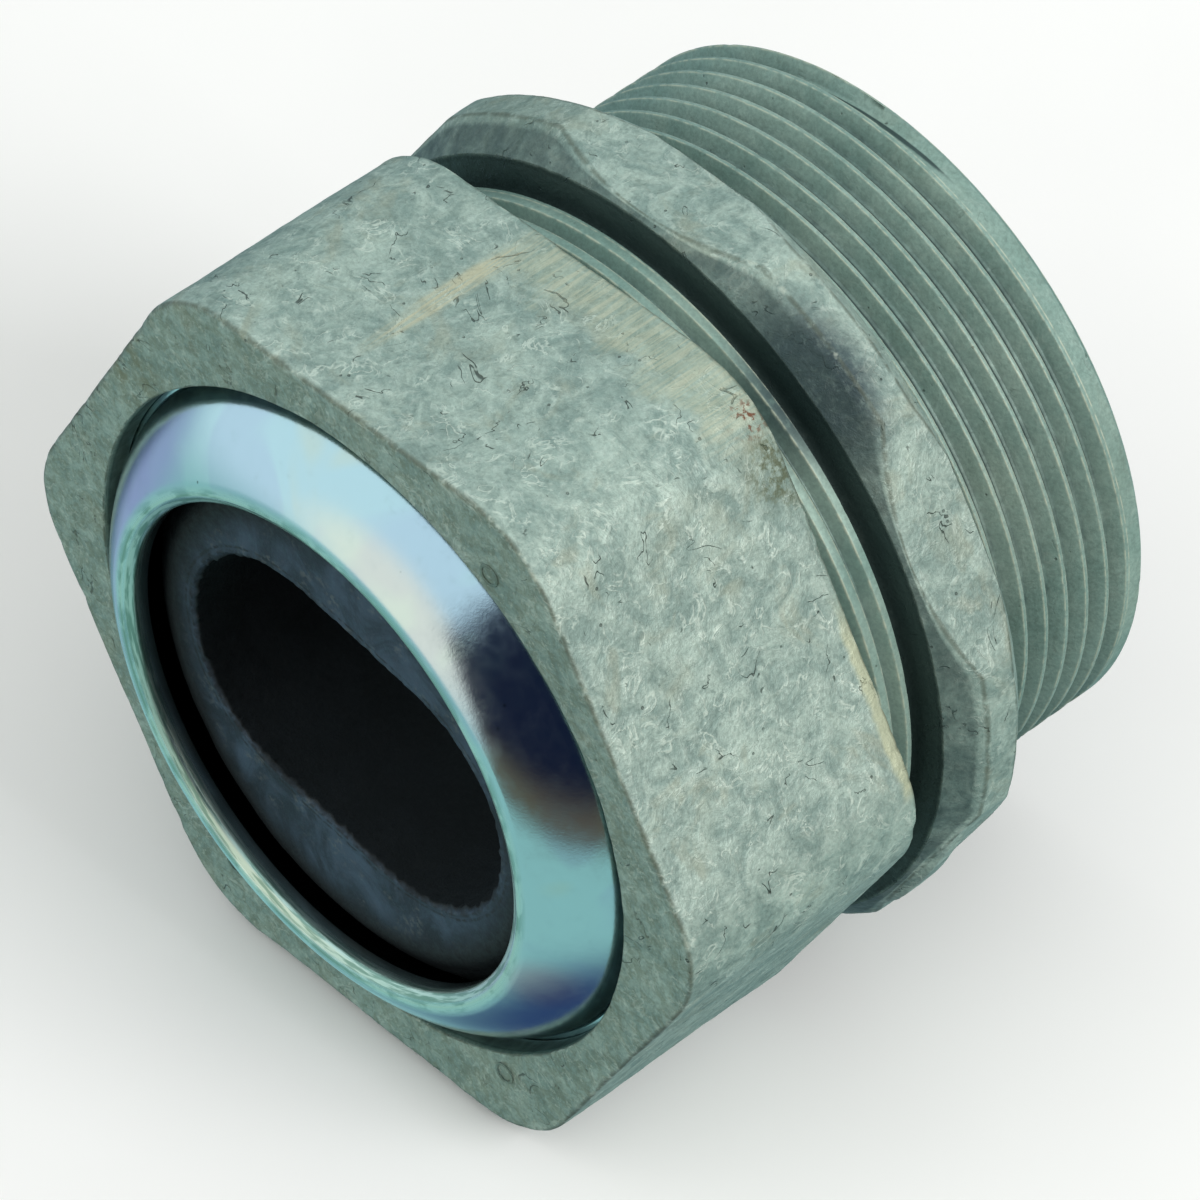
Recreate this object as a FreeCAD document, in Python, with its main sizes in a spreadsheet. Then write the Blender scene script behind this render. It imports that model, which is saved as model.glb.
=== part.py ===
import FreeCAD, Part
import math
import os
import Sketcher
from FreeCAD import Vector

# A watertight connector for flat service cable, 2 inch trade size, zinc die casting.
# Four pieces share one axis, which is Y: the hub body, the gland nut, the slip ring that the
# nut pushes, and the rubber grommet that the ring squeezes into the body.
# Y = 0 is the shoulder that seats against an enclosure. The hub points to +Y, the cable
# enters from -Y, and the fitting lies on a flat of its hexagons with +Z up.
# Every length is in millimetres.

DRIVING_DIMENSIONS = [
    ("thread_pitch", 2.2087, "11.5 threads per inch, on the hub and on the gland"),
    ("thread_flank_angle", 30.0, "half of the 60 degree thread form, in degrees"),
    ("hub_length", 18.3, "shoulder to the hub's end"),
    ("hub_thread_radius", 29.85, "crest of the hub thread"),
    ("hub_thread_depth", 1.25, "crest to root"),
    ("hub_crest_width", 0.34, "flat on the hub thread's crest"),
    ("hub_thread_start", 1.09, "middle of the first groove, behind the shoulder"),
    ("hub_thread_run", 15.95, "first groove's middle to the last's, short of the plain end band"),
    ("hub_thread_turn", -140.0, "where round the axis the hub thread starts, in degrees from +X"),
    ("hub_relief_length", 1.3, "plain neck between the shoulder and the hub thread"),
    ("hub_end_chamfer", 0.55, "lead on the hub's end"),
    ("throat_radius", 25.6, "bore that the cable leaves through"),
    ("throat_rounding", 1.0, "smooth edge for the cable at the hub's end"),
    ("flange_across_flats", 67.8, "the body's hexagon"),
    ("flange_thickness", 7.4, "the body's hexagon"),
    ("flange_turned_radius", 35.6, "its corners are turned down to this circle"),
    ("flange_corner_rounding", 3.0, "rounding of the cast corners before they are turned"),
    ("flange_front_radius", 33.5, "circle where the front chamfer starts"),
    ("flange_front_reach", 2.8, "how far back along the axis the front chamfer goes"),
    ("flange_shoulder_radius", 34.2, "circle where the 45 degree shoulder chamfer starts"),
    ("neck_length", 1.1, "plain neck in front of the body's hexagon"),
    ("neck_radius", 29.9, "neck, just under the gland thread's root"),
    ("gland_thread_radius", 31.2, "crest of the body's gland thread"),
    ("gland_thread_depth", 1.05, "crest to root"),
    ("gland_crest_width", 0.8, "flat on the gland thread's crest"),
    ("gland_thread_start", 29.5, "middle of the first groove, ahead of the shoulder"),
    ("gland_thread_run", 21.2, "first groove's middle to the last's, in the neck"),
    ("gland_length", 19.4, "hexagon to the barrel's open front"),
    ("gland_lead_chamfer", 1.0, "lead on the barrel's front"),
    ("socket_radius", 27.6, "socket that holds the grommet"),
    ("seat_front", 10.1, "where the socket starts to close, ahead of the shoulder"),
    ("seat_back", 7.7, "where the socket meets the throat, ahead of the shoulder"),
    ("nut_across_flats", 66.2, "the nut's hexagon"),
    ("nut_face", 36.8, "nut's front face, ahead of the shoulder"),
    ("nut_length", 23.7, "front face to back face"),
    ("nut_corner_radius", 10.5, "rounding of the nut's corners"),
    ("nut_front_bevel", 0.5, "small bevel round the nut's front face"),
    ("nut_back_bevel", 0.35, "small bevel round the nut's back face"),
    ("nut_opening_radius", 29.15, "opening that the ring stands in"),
    ("nut_lip_thickness", 2.2, "wall that pushes the ring"),
    ("nut_cavity_radius", 31.45, "relief behind the lip"),
    ("nut_cavity_end", 8.3, "where the nut's thread starts, behind its face"),
    ("nut_thread_gap", 0.15, "clearance between the nut's thread and the body's"),
    ("nut_thread_height", 0.9, "root to crest of the nut's thread"),
    ("ring_thickness", 1.7, "steel sheet that the ring is pressed from"),
    ("ring_rim_radius", 30.3, "outer edge, held behind the nut's lip"),
    ("ring_rim_gap", 0.1, "ring to the nut's lip"),
    ("ring_shoulder_radius", 28.75, "where the dish starts, inside the opening"),
    ("ring_crest_radius", 23.2, "nose of the dish"),
    ("ring_bore_radius", 21.4, "hole in the ring"),
    ("ring_proud", 4.3, "how far the nose stands out of the nut's face"),
    ("ring_bulge_radius", 11.0, "radius of the dish's crowned side"),
    ("grommet_radius", 27.3, "rubber barrel, in the socket"),
    ("grommet_gap", 0.15, "rubber to steel and rubber to seat"),
    ("grommet_face_depth", 2.9, "flat front of the rubber behind the ring's nose"),
    ("grommet_face_radius", 20.3, "edge of that flat front"),
    ("grommet_shoulder_radius", 22.2, "where the rubber's rounded front starts to flare"),
    ("grommet_shoulder_drop", 1.3, "how far that shoulder is behind the flat front"),
    ("grommet_tail_radius", 25.0, "end of the taper that the seat squeezes"),
    ("cable_width", 34.4, "long way across the oval cable hole"),
    ("cable_thickness", 22.4, "short way across the oval cable hole"),
    ("cable_tilt", 9.2, "how far the hole's long way leans below +X, in degrees"),
]

MILLIMETRES_PAST_A_FACE = 2.0
MILLIMETRES_CLEAR_OF_CREST = 0.2
SAME_PLACE = 0.01
NODE_FOLDER = "parts"

document = FreeCAD.newDocument("CableConnector")
sheet = document.addObject("Spreadsheet::Sheet", "dims")
for row, (alias, value, meaning) in enumerate(DRIVING_DIMENSIONS, start=1):
    sheet.set(f"A{row}", alias)
    sheet.set(f"B{row}", str(value))
    sheet.setAlias(f"B{row}", alias)
    sheet.set(f"C{row}", meaning)
document.recompute()

# Places along the axis that several pieces share, as formulas over the sheet.
FLANGE_FRONT = "-dims.flange_thickness"
NECK_FRONT = "-(dims.flange_thickness + dims.neck_length)"
BARREL_FRONT = "-(dims.flange_thickness + dims.gland_length)"
NUT_FACE = "-dims.nut_face"
NUT_BACK = "-(dims.nut_face - dims.nut_length)"
LIP_BACK = "-(dims.nut_face - dims.nut_lip_thickness)"
CAVITY_END = "-(dims.nut_face - dims.nut_cavity_end)"
RING_NOSE = "-(dims.nut_face + dims.ring_proud)"
RIM_FRONT = f"({LIP_BACK} + dims.ring_rim_gap)"
RIM_BACK = f"({RIM_FRONT} + dims.ring_thickness)"
RUBBER_FRONT = f"({RING_NOSE} + dims.grommet_face_depth)"
FLANK = "tan(dims.thread_flank_angle * 1 deg)"


def size(formula):
    """The number that a formula over the sheet gives now."""
    return float(sheet.evalExpression(str(formula)))


def origin_plane(body, role):
    return next(item for item in body.Origin.OriginFeatures if item.Role == role)


def new_sketch(body, name, role="XY_Plane"):
    sketch = body.newObject("Sketcher::SketchObject", name)
    sketch.AttachmentSupport = (origin_plane(body, role), [""])
    sketch.MapMode = "FlatFace"
    return sketch


def side_geometry(start, end, bow):
    """One side of an outline. A bow is the arc's radius: positive bends it to the left."""
    if not bow:
        return Part.LineSegment(start, end), 1, 2
    chord = end - start
    middle = (start + end) * 0.5
    across = Vector(-chord.y, chord.x, 0).normalize()
    rise = math.sqrt(bow * bow - chord.Length ** 2 / 4)
    turn = 1 if bow > 0 else -1
    centre = middle - across * rise * turn
    top = centre + across * abs(bow) * turn
    if bow > 0:
        return Part.ArcOfCircle(end, top, start), 2, 1
    return Part.ArcOfCircle(start, top, end), 1, 2


def outline(sketch, corners):
    """A closed outline. Each corner is (x formula, y formula) or has the bow of the side after it."""
    points = [Vector(size(corner[0]), size(corner[1]), 0) for corner in corners]
    bows = [corner[2] if len(corner) > 2 else None for corner in corners]
    ends = []
    for index, start in enumerate(points):
        end = points[(index + 1) % len(points)]
        bow = size(bows[index]) if bows[index] else None
        geometry, first, last = side_geometry(start, end, bow)
        ends.append((sketch.addGeometry(geometry), first, last))
    for index, (side, first, last) in enumerate(ends):
        following, following_first, _ = ends[(index + 1) % len(ends)]
        sketch.addConstraint(
            Sketcher.Constraint("Coincident", side, last, following, following_first)
        )
        for direction, formula, value in zip(
            ("DistanceX", "DistanceY"), corners[index], (points[index].x, points[index].y)
        ):
            number = sketch.addConstraint(
                Sketcher.Constraint(direction, -1, 1, side, first, value)
            )
            sketch.setExpression(f"Constraints[{number}]", str(formula))
        if bows[index]:
            radius = abs(size(bows[index]))
            number = sketch.addConstraint(Sketcher.Constraint("Radius", side, radius))
            sketch.setExpression(f"Constraints[{number}]", f"abs({bows[index]})")
    return sketch


def turned(body, name, corners, cut=False):
    """A shape turned about the Y axis from a half section in (radius, Y)."""
    kind = "PartDesign::Groove" if cut else "PartDesign::Revolution"
    sketch = outline(new_sketch(body, name + "_section"), corners)
    before = body.Shape.Volume if cut else 0.0
    feature = body.newObject(kind, name)
    feature.Profile = sketch
    feature.ReferenceAxis = (sketch, ["V_Axis"])
    feature.Angle = 360
    document.recompute()
    if cut and not feature.Shape.Volume < before:
        raise RuntimeError(f"{name} cuts nothing")
    return feature


def hexagon_prism(body, name, across_flats, front, back, corner_radius):
    """The hexagon between two planes of constant Y, with a flat at the top and rounded corners."""
    sketch = new_sketch(body, name + "_outline", "XZ_Plane")
    reach = f"{across_flats} / 2 / cos(30 deg)"
    corners = [
        (f"{reach} * cos({angle} deg)", f"{reach} * sin({angle} deg)")
        for angle in range(0, 360, 60)
    ]
    outline(sketch, corners)
    sketch.setExpression("AttachmentOffset.Base.z", f"-({back})")
    pad = body.newObject("PartDesign::Pad", name)
    pad.Profile = sketch
    pad.setExpression("Length", f"({back}) - ({front})")
    document.recompute()
    along_y = [
        f"Edge{number}"
        for number, edge in enumerate(pad.Shape.Edges, start=1)
        if abs(edge.tangentAt(edge.FirstParameter).y) > 0.99
    ]
    rounding = body.newObject("PartDesign::Fillet", name + "_corners")
    rounding.Base = (pad, along_y)
    rounding.setExpression("Radius", corner_radius)
    document.recompute()
    return rounding


def bevel(body, name, plane, bevel_size):
    """A small bevel round every edge that lies in one plane of constant Y."""
    sharp = body.Tip
    level = size(plane)
    edges = [
        f"Edge{number}"
        for number, edge in enumerate(sharp.Shape.Edges, start=1)
        if abs(edge.BoundBox.YMin - level) < SAME_PLACE
        and abs(edge.BoundBox.YMax - level) < SAME_PLACE
    ]
    chamfer = body.newObject("PartDesign::Chamfer", name)
    chamfer.Base = (sharp, edges)
    chamfer.setExpression("Size", bevel_size)
    document.recompute()


def helical_groove(body, name, corners, first_middle, run, start_turn="0"):
    """A right-hand screw groove about Y. Corners are (radius, Y from the groove's middle)."""
    placed = [(radius, f"{first_middle} + {offset}") for radius, offset in corners]
    sketch = outline(new_sketch(body, name + "_section"), placed)
    sketch.AttachmentOffset = FreeCAD.Placement(
        Vector(0, 0, 0), FreeCAD.Rotation(Vector(0, 1, 0), size(start_turn))
    )
    before = body.Shape.Volume
    helix = body.newObject("PartDesign::SubtractiveHelix", name)
    helix.Profile = sketch
    helix.ReferenceAxis = (sketch, ["V_Axis"])
    helix.Mode = 0
    helix.LeftHanded = False
    helix.Reversed = False
    helix.setExpression("Pitch", "dims.thread_pitch")
    helix.setExpression("Height", run)
    document.recompute()
    if not helix.Shape.Volume < before:
        raise RuntimeError(f"{name} cuts nothing")


def external_thread_section(crest, depth, crest_width):
    """The groove between two flat crests, open a little above the crest."""
    half_gap = f"(dims.thread_pitch - {crest_width}) / 2"
    mouth = f"({half_gap} + {MILLIMETRES_CLEAR_OF_CREST} * {FLANK})"
    floor = f"({half_gap} - {depth} * {FLANK})"
    return [
        (f"{crest} + {MILLIMETRES_CLEAR_OF_CREST}", f"-1 * {mouth}"),
        (f"{crest} + {MILLIMETRES_CLEAR_OF_CREST}", mouth),
        (f"{crest} - {depth}", floor),
        (f"{crest} - {depth}", f"-1 * {floor}"),
    ]


def make_connector_body():
    body = document.addObject("PartDesign::Body", "connector_body")
    hexagon_prism(
        body, "flange", "dims.flange_across_flats", FLANGE_FRONT, "0", "dims.flange_corner_rounding"
    )
    turn_the_flange(body)
    neck_back = f"{FLANGE_FRONT} / 2"
    relief_radius = "dims.hub_thread_radius - dims.hub_thread_depth"
    turned(body, "barrel", [
        ("0", BARREL_FRONT),
        ("dims.gland_thread_radius - dims.gland_lead_chamfer", BARREL_FRONT),
        ("dims.gland_thread_radius", f"{BARREL_FRONT} + dims.gland_lead_chamfer"),
        ("dims.gland_thread_radius", NECK_FRONT),
        ("dims.neck_radius", NECK_FRONT),
        ("dims.neck_radius", neck_back),
        (relief_radius, neck_back),
        (relief_radius, "dims.hub_relief_length"),
        ("dims.hub_thread_radius", "dims.hub_relief_length + dims.hub_thread_depth"),
        ("dims.hub_thread_radius", "dims.hub_length - dims.hub_end_chamfer"),
        ("dims.hub_thread_radius - dims.hub_end_chamfer", "dims.hub_length"),
        ("0", "dims.hub_length"),
    ])
    past_front = f"{BARREL_FRONT} - {MILLIMETRES_PAST_A_FACE}"
    past_end = f"dims.hub_length + {MILLIMETRES_PAST_A_FACE}"
    turned(body, "cable_way", [
        ("0", past_front),
        ("dims.socket_radius", past_front),
        ("dims.socket_radius", "-dims.seat_front"),
        ("dims.throat_radius", "-dims.seat_back"),
        ("dims.throat_radius", past_end),
        ("0", past_end),
    ], cut=True)
    round_the_hub_mouth(body)
    hub_section = external_thread_section(
        "dims.hub_thread_radius", "dims.hub_thread_depth", "dims.hub_crest_width"
    )
    helical_groove(
        body, "hub_thread", hub_section, "dims.hub_thread_start", "dims.hub_thread_run",
        "dims.hub_thread_turn",
    )
    gland_section = external_thread_section(
        "dims.gland_thread_radius", "dims.gland_thread_depth", "dims.gland_crest_width"
    )
    helical_groove(
        body, "gland_thread", gland_section, "-dims.gland_thread_start", "dims.gland_thread_run"
    )
    return body


def turn_the_flange(body):
    """Turns the flange's corners down to a circle, with a chamfer at each end of it."""
    before_flange = f"{FLANGE_FRONT} - {MILLIMETRES_PAST_A_FACE}"
    beyond = f"dims.flange_across_flats / 2 / cos(30 deg) + {MILLIMETRES_PAST_A_FACE}"
    turned(body, "flange_turning", [
        ("dims.flange_front_radius", before_flange),
        (beyond, before_flange),
        (beyond, MILLIMETRES_PAST_A_FACE),
        ("dims.flange_shoulder_radius", MILLIMETRES_PAST_A_FACE),
        ("dims.flange_shoulder_radius", "0"),
        ("dims.flange_turned_radius", "dims.flange_shoulder_radius - dims.flange_turned_radius"),
        ("dims.flange_turned_radius", f"{FLANGE_FRONT} + dims.flange_front_reach"),
        ("dims.flange_front_radius", FLANGE_FRONT),
    ], cut=True)


def round_the_hub_mouth(body):
    """Rounds the bore's edge at the hub's end, where the cable could chafe."""
    unrounded = body.Tip
    mouth = size("dims.throat_radius")
    end = size("dims.hub_length")
    edges = [
        f"Edge{number}"
        for number, edge in enumerate(unrounded.Shape.Edges, start=1)
        if abs(edge.BoundBox.YMin - end) < SAME_PLACE
        and abs(edge.BoundBox.XMax - mouth) < SAME_PLACE
    ]
    fillet = body.newObject("PartDesign::Fillet", "hub_mouth")
    fillet.Base = (unrounded, edges)
    fillet.setExpression("Radius", "dims.throat_rounding")
    document.recompute()


def make_gland_nut():
    body = document.addObject("PartDesign::Body", "gland_nut")
    hexagon_prism(
        body, "nut_block", "dims.nut_across_flats", NUT_FACE, NUT_BACK, "dims.nut_corner_radius"
    )
    bevel(body, "nut_front_bevel", NUT_FACE, "dims.nut_front_bevel")
    bevel(body, "nut_back_bevel", NUT_BACK, "dims.nut_back_bevel")
    crest = "(dims.gland_thread_radius + dims.nut_thread_gap - dims.nut_thread_height)"
    mouth = "(dims.gland_thread_radius + 2 * dims.nut_thread_gap)"
    past_front = f"{NUT_FACE} - {MILLIMETRES_PAST_A_FACE}"
    past_back = f"{NUT_BACK} + {MILLIMETRES_PAST_A_FACE}"
    turned(body, "nut_bore", [
        ("0", past_front),
        ("dims.nut_opening_radius", past_front),
        ("dims.nut_opening_radius", LIP_BACK),
        ("dims.nut_cavity_radius", LIP_BACK),
        ("dims.nut_cavity_radius", CAVITY_END),
        (crest, f"{CAVITY_END} + dims.nut_cavity_radius - {crest}"),
        (crest, f"{NUT_BACK} - ({mouth} - {crest})"),
        (mouth, NUT_BACK),
        (mouth, past_back),
        ("0", past_back),
    ], cut=True)
    helical_groove(
        body, "nut_thread", nut_thread_section(crest),
        "-(dims.gland_thread_start + dims.thread_pitch / 2)",
        "dims.gland_thread_start - dims.nut_face + dims.nut_length + 2 * dims.thread_pitch",
    )
    return body


def nut_thread_section(crest):
    """What to cut so that the ridge left standing fits the body's groove with the thread gap."""
    groove_half = "(dims.thread_pitch - dims.gland_crest_width) / 2"
    ridge_root = f"({groove_half} - dims.nut_thread_gap * (1 - {FLANK}))"
    ridge_top = f"({ridge_root} - (dims.nut_thread_height + {MILLIMETRES_CLEAR_OF_CREST}) * {FLANK})"
    root = "dims.gland_thread_radius + dims.nut_thread_gap"
    return [
        (f"{crest} - {MILLIMETRES_CLEAR_OF_CREST}", f"{ridge_top} - dims.thread_pitch / 2"),
        (root, f"{ridge_root} - dims.thread_pitch / 2"),
        (root, f"dims.thread_pitch / 2 - {ridge_root}"),
        (f"{crest} - {MILLIMETRES_CLEAR_OF_CREST}", f"dims.thread_pitch / 2 - {ridge_top}"),
    ]


def make_slip_ring():
    body = document.addObject("PartDesign::Body", "slip_ring")
    half_sheet = "dims.ring_thickness / 2"
    turned(body, "dished_ring", [
        ("dims.ring_rim_radius", RIM_FRONT),
        ("dims.ring_rim_radius", RIM_BACK),
        ("dims.ring_shoulder_radius - dims.ring_thickness", RIM_BACK,
         "dims.ring_bulge_radius - dims.ring_thickness"),
        ("dims.ring_bore_radius", f"{RING_NOSE} + 1.2 * dims.ring_thickness"),
        ("dims.ring_bore_radius", f"{RING_NOSE} + {half_sheet}"),
        (f"dims.ring_crest_radius - {half_sheet}", RING_NOSE),
        ("dims.ring_crest_radius", f"{RING_NOSE} + dims.ring_thickness / 10", "-dims.ring_bulge_radius"),
        ("dims.ring_shoulder_radius", RIM_FRONT),
    ])
    return body


def make_cable_grommet():
    body = document.addObject("PartDesign::Body", "cable_grommet")
    tail = "-(dims.seat_back + dims.grommet_gap / 2)"
    turned(body, "rubber_barrel", [
        ("0", RUBBER_FRONT),
        ("dims.grommet_face_radius", RUBBER_FRONT),
        ("dims.grommet_shoulder_radius", f"{RUBBER_FRONT} + dims.grommet_shoulder_drop"),
        ("dims.grommet_radius", f"{RIM_BACK} + 5 * dims.grommet_gap"),
        ("dims.grommet_radius", "-(dims.seat_front + dims.grommet_gap)"),
        ("dims.grommet_tail_radius", tail),
        ("0", tail),
    ])
    cut_the_cable_hole(body)
    return body


def cut_the_cable_hole(body):
    """The oval way through the rubber: two straight sides joined by half circles."""
    sketch = new_sketch(body, "cable_hole_outline", "XZ_Plane")
    radius = "dims.cable_thickness / 2"
    reach = "(dims.cable_width - dims.cable_thickness) / 2"
    half, side = size(radius), size(reach)
    quarter_turn = math.pi / 2
    right_circle = Part.Circle(Vector(side, 0, 0), Vector(0, 0, 1), half)
    left_circle = Part.Circle(Vector(-side, 0, 0), Vector(0, 0, 1), half)
    sketch.addGeometry([
        Part.LineSegment(Vector(-side, half, 0), Vector(side, half, 0)),
        Part.ArcOfCircle(right_circle, -quarter_turn, quarter_turn),
        Part.LineSegment(Vector(side, -half, 0), Vector(-side, -half, 0)),
        Part.ArcOfCircle(left_circle, quarter_turn, 3 * quarter_turn),
    ])
    top, right, bottom, left = range(4)
    start, end, centre = 1, 2, 3
    smooth_joins = (
        (top, end, right, end),
        (right, start, bottom, start),
        (bottom, end, left, end),
        (left, start, top, start),
    )
    for first, first_point, second, second_point in smooth_joins:
        sketch.addConstraint(
            Sketcher.Constraint("Tangent", first, first_point, second, second_point)
        )
    horizontal_axis, origin = -1, (-1, 1)
    sketch.addConstraint(Sketcher.Constraint("PointOnObject", right, centre, horizontal_axis))
    sketch.addConstraint(Sketcher.Constraint("PointOnObject", left, centre, horizontal_axis))
    for constraint, formula in (
        (Sketcher.Constraint("Radius", right, half), radius),
        (Sketcher.Constraint("DistanceX", *origin, right, centre, side), reach),
        (Sketcher.Constraint("DistanceX", *origin, left, centre, -side), f"-1 * {reach}"),
    ):
        number = sketch.addConstraint(constraint)
        sketch.setExpression(f"Constraints[{number}]", formula)
    sketch.setExpression("AttachmentOffset.Rotation.Angle", "-dims.cable_tilt * 1 deg")
    before = body.Shape.Volume
    hole = body.newObject("PartDesign::Pocket", "cable_hole")
    hole.Profile = sketch
    hole.Type = "ThroughAll"
    hole.Midplane = True
    document.recompute()
    if not hole.Shape.Volume < before:
        raise RuntimeError("the cable hole cuts nothing")


def check_everything(bodies):
    document.recompute()
    failed = [
        item.Name for item in document.Objects
        if "Invalid" in item.State or "Error" in item.State
    ]
    failed += [
        body.Label for body in bodies
        if body.Shape.isNull() or not body.Shape.isValid() or len(body.Shape.Solids) != 1
    ]
    if failed:
        raise RuntimeError(f"these objects failed: {failed}")


def write_steps(bodies):
    os.makedirs(NODE_FOLDER, exist_ok=True)
    for body in bodies:
        body.Shape.exportStep(os.path.join(NODE_FOLDER, body.Label + ".step"))


pieces = [make_connector_body(), make_gland_nut(), make_slip_ring(), make_cable_grommet()]
check_everything(pieces)
write_steps(pieces)
for piece in pieces:
    box = piece.Shape.BoundBox
    print(piece.Label, "Y", round(box.YMin, 2), round(box.YMax, 2), "volume", round(piece.Shape.Volume))
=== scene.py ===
import math

import bpy
import numpy as np
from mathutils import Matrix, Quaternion, Vector, noise


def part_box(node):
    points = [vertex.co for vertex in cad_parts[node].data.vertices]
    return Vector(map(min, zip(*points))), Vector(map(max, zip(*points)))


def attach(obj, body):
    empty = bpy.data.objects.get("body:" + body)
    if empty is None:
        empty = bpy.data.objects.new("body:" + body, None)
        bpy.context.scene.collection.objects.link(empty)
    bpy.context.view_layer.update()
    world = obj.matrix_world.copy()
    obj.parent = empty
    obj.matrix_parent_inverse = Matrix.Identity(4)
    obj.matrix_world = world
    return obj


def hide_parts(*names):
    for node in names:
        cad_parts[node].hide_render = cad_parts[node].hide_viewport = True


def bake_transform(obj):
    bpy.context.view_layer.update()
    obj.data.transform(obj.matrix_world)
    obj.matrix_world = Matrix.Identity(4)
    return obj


# A die-cast compression connector for flat cable: the body, the gland nut, the bright slip ring
# and the rubber grommet. All four share the Y axis. Lengths are in millimetres until a mesh is
# made, and angles go round Y in degrees, from +X towards +Z.

METRES = 0.001
ANGLES_ROUND = 600

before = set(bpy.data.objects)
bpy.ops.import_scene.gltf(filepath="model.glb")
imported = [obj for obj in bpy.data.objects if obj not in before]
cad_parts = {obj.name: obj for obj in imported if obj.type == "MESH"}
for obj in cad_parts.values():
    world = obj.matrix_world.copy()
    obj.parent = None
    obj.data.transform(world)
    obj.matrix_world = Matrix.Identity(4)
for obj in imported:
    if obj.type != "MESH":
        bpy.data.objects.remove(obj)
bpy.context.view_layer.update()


def box_in_millimetres(node):
    low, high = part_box(node)
    return low / METRES, high / METRES


body_low, body_high = box_in_millimetres("connector_body")
nut_low, nut_high = box_in_millimetres("gland_nut")
ring_low, ring_high = box_in_millimetres("slip_ring")
rubber_low, rubber_high = box_in_millimetres("cable_grommet")

# Sizes that the frame's boxes don't give.
PITCH = 2.2087
HALF_THREAD_ANGLE = 30.0
THROAT_RADIUS = 25.6
THROAT_ROUNDING = 1.0
MOUTH_STEPS = 6
FLANGE_THICKNESS = 7.4
FLANGE_CAST_CORNER = 3.0
FLANGE_FRONT_RADIUS = 33.5
FLANGE_FRONT_REACH = 2.8
FLANGE_SHOULDER_RADIUS = 34.2
NECK_LENGTH = 1.1
NECK_RADIUS = 29.9
GLAND_LEAD = 1.0
SOCKET_RADIUS = 27.6
SEAT_FRONT = -10.1
SEAT_BACK = -7.7
HUB_RELIEF_LENGTH = 1.3
HUB_END_CHAMFER = 0.55
NUT_CORNER = 10.5
NUT_OPENING_RADIUS = 29.15
NUT_LIP = 2.2
NUT_CAVITY_RADIUS = 31.45
NUT_CAVITY_LENGTH = 8.3
NUT_MOUTH_RADIUS = 31.5
RING_SHEET = 1.7
RING_SHOULDER_RADIUS = 28.75
RING_CREST_RADIUS = 23.2
RING_BORE_RADIUS = 21.4
RUBBER_FACE_RADIUS = 20.3
RUBBER_SHOULDER_RADIUS = 22.2
RUBBER_SHOULDER_DROP = 1.3
RUBBER_TAIL_RADIUS = 25.0
RUBBER_GAP = 0.15
CABLE_HALF_WIDTH = 17.2
CABLE_HALF_THICKNESS = 11.2
CABLE_TILT = 9.2
TEAR_DEPTH = 0.35
TORN_MOUTH_DEPTH = 1.6
RAG_DROP = 0.45
RAG_WANDER = 0.3
LIP_WIDTH = 0.25
LIP_DROP = 0.05
LIP_TO_FACE = 0.9
RING_INNER_BOW = 0.75
RING_OUTER_BOW = 0.85
FLANGE_ARRIS = 0.35
FLANGE_ARRIS_WANDER = 0.12
COLLAR_ANGLE = 330
COLLAR_HALF_ANGLE = 16
COLLAR_RADIUS = 34.7
COLLAR_FRONT = -6.4
COLLAR_BACK = -4.0
COLLAR_SLOPE = 0.5

# Cast skins, each a list of (size across, depth) for the lumps in it.
BODY_SKIN = [(6.0, 0.10), (1.8, 0.05), (0.7, 0.03)]
NUT_SKIN = [(7.0, 0.12), (2.0, 0.05), (0.8, 0.03)]
RUBBER_SKIN = [(5.0, 0.16), (1.5, 0.08)]


# ---------------------------------------------------------------- shapes

def smooth_step(value, low, high):
    share = np.clip((value - low) / (high - low), 0.0, 1.0)
    return share * share * (3 - 2 * share)


def rounded_ramp(share, softness=0.08):
    """0 to 1 like a straight ramp, with its two kinks rounded."""
    def area(t):
        t = np.maximum(t, 0.0)
        return np.where(t < 1, t * t / 2, t - 0.5)
    return (area(share + softness) - area(share - softness)) / (2 * softness)


def noise_at(points, cell, seed):
    """Soft noise from about -1 to 1 at points in millimetres, with features about a cell across."""
    shift = Vector((seed * 17.3, seed * 5.9, seed * 11.1))
    flat = np.asarray(points, float).reshape(-1, 3) / cell
    values = [noise.noise(Vector(point) + shift) for point in flat]
    return np.array(values).reshape(np.shape(points)[:-1])


def on_axis_frame(radius, along, angle):
    """Points in millimetres from a radius, a place along Y and an angle in degrees."""
    turn = np.radians(angle)
    return np.stack([radius * np.cos(turn), along + 0 * radius, radius * np.sin(turn)], axis=-1)


def hexagon_radius(angle, apothem, corner_radius):
    """Distance from the axis to a hexagon with flats at 30, 90, ... degrees and round corners."""
    from_corner = np.radians((angle + 30) % 60 - 30)
    reach = apothem / math.cos(math.radians(30))
    centre = reach - corner_radius / math.cos(math.radians(30))
    flat = apothem / np.cos(math.radians(30) - np.abs(from_corner))
    tangent = math.atan2(
        corner_radius * math.sin(math.radians(30)), centre + corner_radius * math.cos(math.radians(30))
    )
    across = np.clip(corner_radius ** 2 - (centre * np.sin(from_corner)) ** 2, 0, None)
    rounded = centre * np.cos(from_corner) + np.sqrt(across)
    return np.where(np.abs(from_corner) < tangent, rounded, flat)


def oval_radius(angle, half_width, half_thickness):
    """Distance from the axis to two parallel sides joined by half circles."""
    side = half_width - half_thickness
    cosine = np.abs(np.cos(np.radians(angle)))
    sine = np.abs(np.sin(np.radians(angle)))
    end = side * cosine + np.sqrt(np.clip(half_thickness ** 2 - (side * sine) ** 2, 0, None))
    straight = half_thickness / np.maximum(sine, 1e-6)
    return np.where(straight * cosine < side, straight, end)


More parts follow.
